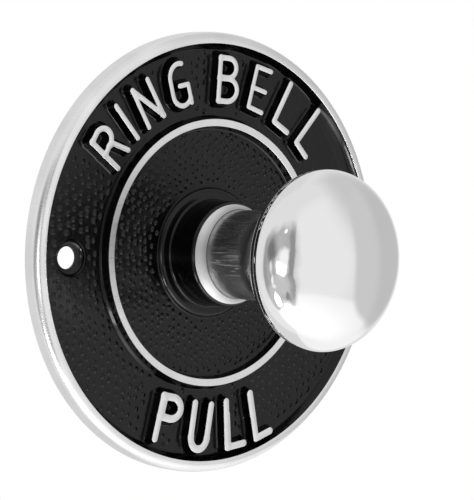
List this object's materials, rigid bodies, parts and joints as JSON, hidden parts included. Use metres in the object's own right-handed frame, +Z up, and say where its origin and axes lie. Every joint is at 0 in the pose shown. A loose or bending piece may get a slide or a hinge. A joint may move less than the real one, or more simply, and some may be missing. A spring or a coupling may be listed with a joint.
{
  "type": "bell pull",
  "caption": "Round cast wall plate in black enamel with bright raised rim, ring and boss, and a sprung, plated pull knob on a square rod with a wire eye.",
  "frame": {"origin": "centre of the two wall screw holes, on the plate's back face", "axes": "+Y runs into the wall, parallel to the knob's axis, so the knob points to -Y; +Z is up; +X is to the right, seen from the front"},
  "size_m": [0.102, 0.0982, 0.102],
  "materials": {
    "enamelled_casting": "black stippled enamel, high faces linished bright",
    "polished_plating": "mirror polished",
    "bright_steel": "bright drawn",
    "fastener_steel": "zinc plated",
    "spring_steel": "bright spring wire",
    "buffer_leather": "plain cut edge"
  },
  "bodies": {
    "wall_plate": {"backplate": "enamelled_casting", "guide_plate": "bright_steel", "guide_screws": "fastener_steel", "buffer_washer": "buffer_leather", "return_spring": "spring_steel"},
    "pull": {"knob": "polished_plating", "neck_pin": "bright_steel", "pull_rod": "bright_steel", "spring_washer": "fastener_steel", "adjusting_nut": "fastener_steel", "lock_nut": "fastener_steel"}
  },
  "joints": [
    {"name": "pull_slide", "type": "slide", "parent": "wall_plate", "child": "pull", "axis": [0, -1, 0], "range_m": [0, 0.012], "stiffness_N_per_m": 1950, "springref_m": -0.005, "deforming": ["return_spring"]}
  ]
}
